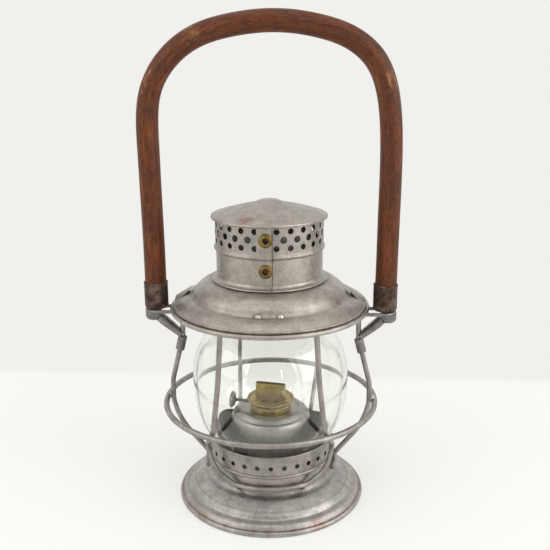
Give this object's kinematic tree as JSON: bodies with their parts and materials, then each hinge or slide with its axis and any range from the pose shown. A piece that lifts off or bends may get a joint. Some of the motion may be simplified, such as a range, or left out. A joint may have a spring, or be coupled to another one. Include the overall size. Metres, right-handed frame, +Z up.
{
  "type": "hand lantern",
  "caption": "Oil-burning signal hand lantern with bell base, wire guard, clear globe, pierced chimney lid on a hinge, drop-in fount and a bent wooden bail.",
  "frame": {"origin": "centre of the bell base on the surface it stands on", "axes": "+Z up through the globe and chimney; the bail stands in the XZ plane; -Y is the latch side, +Y the hinge side"},
  "size_m": [0.2108, 0.1824, 0.4048],
  "materials": {
    "tinned sheet": "dull weathered tinplate with grey mottling and light scratches",
    "inner sheet": "dull tinplate, dusty and slightly rusted",
    "guard wire": "tinned steel wire, dulled",
    "foot wire": "rusted steel wire inside the rolled rim",
    "bracket steel": "grey steel, dulled and darkened like the guard wires",
    "bail steel": "dark rusted steel with bare patches",
    "bail wood": "steam-bent rod with old dark red-brown varnish, worn through in places",
    "screw steel": "plain dark steel",
    "hinge steel": "dull grey spring steel and sheet",
    "rivet metal": "bright worn rivet heads",
    "clear glass": "clear blown-moulded glass",
    "eyelet brass": "tarnished brass",
    "fount metal": "grey tinned steel",
    "burner brass": "aged brass",
    "cotton wick": "woven cotton tape with a charred end"
  },
  "bodies": {
    "frame": {"bell_base": "tinned sheet", "foot_wire": "foot wire", "vent_collar": "tinned sheet", "front_tab": "tinned sheet", "rear_tab": "tinned sheet", "front_guard": "guard wire", "rear_guard": "guard wire", "left_guard": "guard wire", "right_guard": "guard wire", "guard_ring": "guard wire", "top_ring": "tinned sheet", "globe_seat": "inner sheet", "globe": "clear glass", "fount_plate": "inner sheet", "left_shield": "inner sheet", "right_shield": "inner sheet", "left_ear": "bracket steel", "right_ear": "bracket steel", "left_brace": "bracket steel", "right_brace": "bracket steel", "left_ferrule": "bail steel", "right_ferrule": "bail steel", "bail": "bail wood", "left_screw": "screw steel", "right_screw": "screw steel", "frame_hinge": "hinge steel", "hinge_pin": "screw steel", "left_spring": "hinge steel", "right_spring": "hinge steel"},
    "lid": {"dome": "tinned sheet", "globe_keeper": "inner sheet", "chimney_foot": "tinned sheet", "chimney": "tinned sheet", "seam_strip": "tinned sheet", "upper_eyelet": "eyelet brass", "lower_eyelet": "eyelet brass", "flue_tube": "inner sheet", "chimney_cap": "tinned sheet", "latch_spring": "hinge steel", "left_rivet": "rivet metal", "right_rivet": "rivet metal", "lid_hinge": "hinge steel"},
    "fount": {"fount_tank": "fount metal", "fount_base": "fount metal", "burner_collar": "burner brass", "burner_bowl": "burner brass", "burner_deck": "burner brass", "wick_tube": "burner brass"},
    "wick": {"wick": "cotton wick"},
    "wheel": {"wick_shaft": "screw steel", "wick_wheel": "fount metal", "feed_wheels": "screw steel"}
  },
  "joints": [
    {"name": "lid_hinge_turn", "type": "hinge", "parent": "frame", "child": "lid", "pos_m": [0, 0.0872, 0.1731], "axis": [-1, 0, 0], "range_deg": [0, 105]},
    {"name": "fount_drop", "type": "slide", "parent": "frame", "child": "fount", "axis": [0, 0, -1], "range_m": [0, 0.1]},
    {"name": "wick_turn", "type": "hinge", "parent": "fount", "child": "wheel", "pos_m": [-0.0008, -0.00412, 0.0826], "axis": [0.9816, -0.1908, 0], "range_deg": [-127.9, 174.2]},
    {"name": "wick_rise", "type": "slide", "parent": "fount", "child": "wick", "axis": [0, 0, 1], "range_m": [-0.0058, 0.0079]}
  ],
  "couplings": [
    {"joint": "wick_turn", "follows": "wick_rise", "rad_per_m": 384.62}
  ]
}
